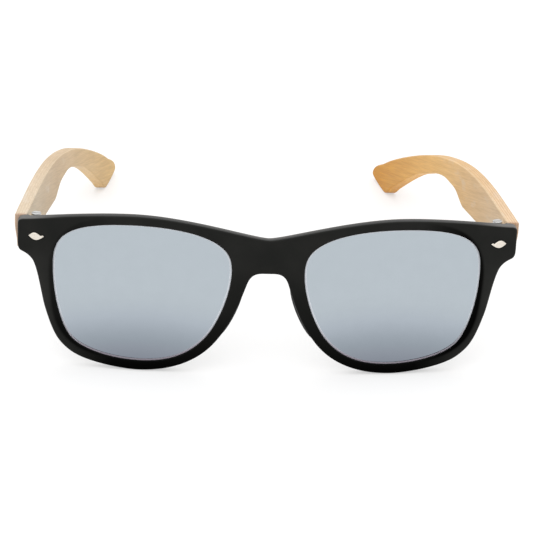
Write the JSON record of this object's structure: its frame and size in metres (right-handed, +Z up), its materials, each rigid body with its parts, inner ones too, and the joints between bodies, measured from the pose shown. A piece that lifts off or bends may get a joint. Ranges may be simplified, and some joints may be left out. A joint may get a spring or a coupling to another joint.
{
  "type": "sunglasses",
  "caption": "Sunglasses with a wrapped matte plastic front, mirrored lenses and flat bamboo temples that fold inwards on barrel hinges",
  "frame": {"origin": "middle of the footprint, on the surface on which the two rim bottoms and the two temple tips stand", "axes": "+Z up; the lenses face -Y and the temples run back along +Y; +X is to the right seen from the front, and left and right in the names are as seen from the front"},
  "size_m": [0.1474, 0.1396, 0.0481],
  "materials": {
    "front_plastic": "fine matte black",
    "lens_mirror": "silver mirror coating on a dark plastic lens",
    "bamboo": "oiled laminated bamboo",
    "hinge_steel": "stainless, lightly brushed",
    "ornament_metal": "satin, pale silver"
  },
  "bodies": {
    "front": {"front_frame": "front_plastic", "lens_left": "lens_mirror", "lens_right": "lens_mirror", "ornament_left": "ornament_metal", "ornament_right": "ornament_metal", "hinge_front_leaf_left": "hinge_steel", "hinge_front_leaf_right": "hinge_steel", "front_screw_left_upper": "hinge_steel", "front_screw_left_lower": "hinge_steel", "front_screw_right_upper": "hinge_steel", "front_screw_right_lower": "hinge_steel", "hinge_screw_left": "hinge_steel", "hinge_screw_right": "hinge_steel"},
    "left_temple": {"temple_left": "bamboo", "hinge_temple_leaf_left": "hinge_steel", "temple_screw_left_front": "hinge_steel", "temple_screw_left_rear": "hinge_steel"},
    "right_temple": {"temple_right": "bamboo", "hinge_temple_leaf_right": "hinge_steel", "temple_screw_right_front": "hinge_steel", "temple_screw_right_rear": "hinge_steel"}
  },
  "joints": [
    {"name": "left_temple_fold", "type": "hinge", "parent": "front", "child": "left_temple", "pos_m": [-0.06726, -0.05657, 0.03544], "axis": [0, -0.069, -0.9976], "range_deg": [0, 80]},
    {"name": "right_temple_fold", "type": "hinge", "parent": "front", "child": "right_temple", "pos_m": [0.06726, -0.05657, 0.03544], "axis": [0, 0.069, 0.9976], "range_deg": [0, 75]}
  ]
}
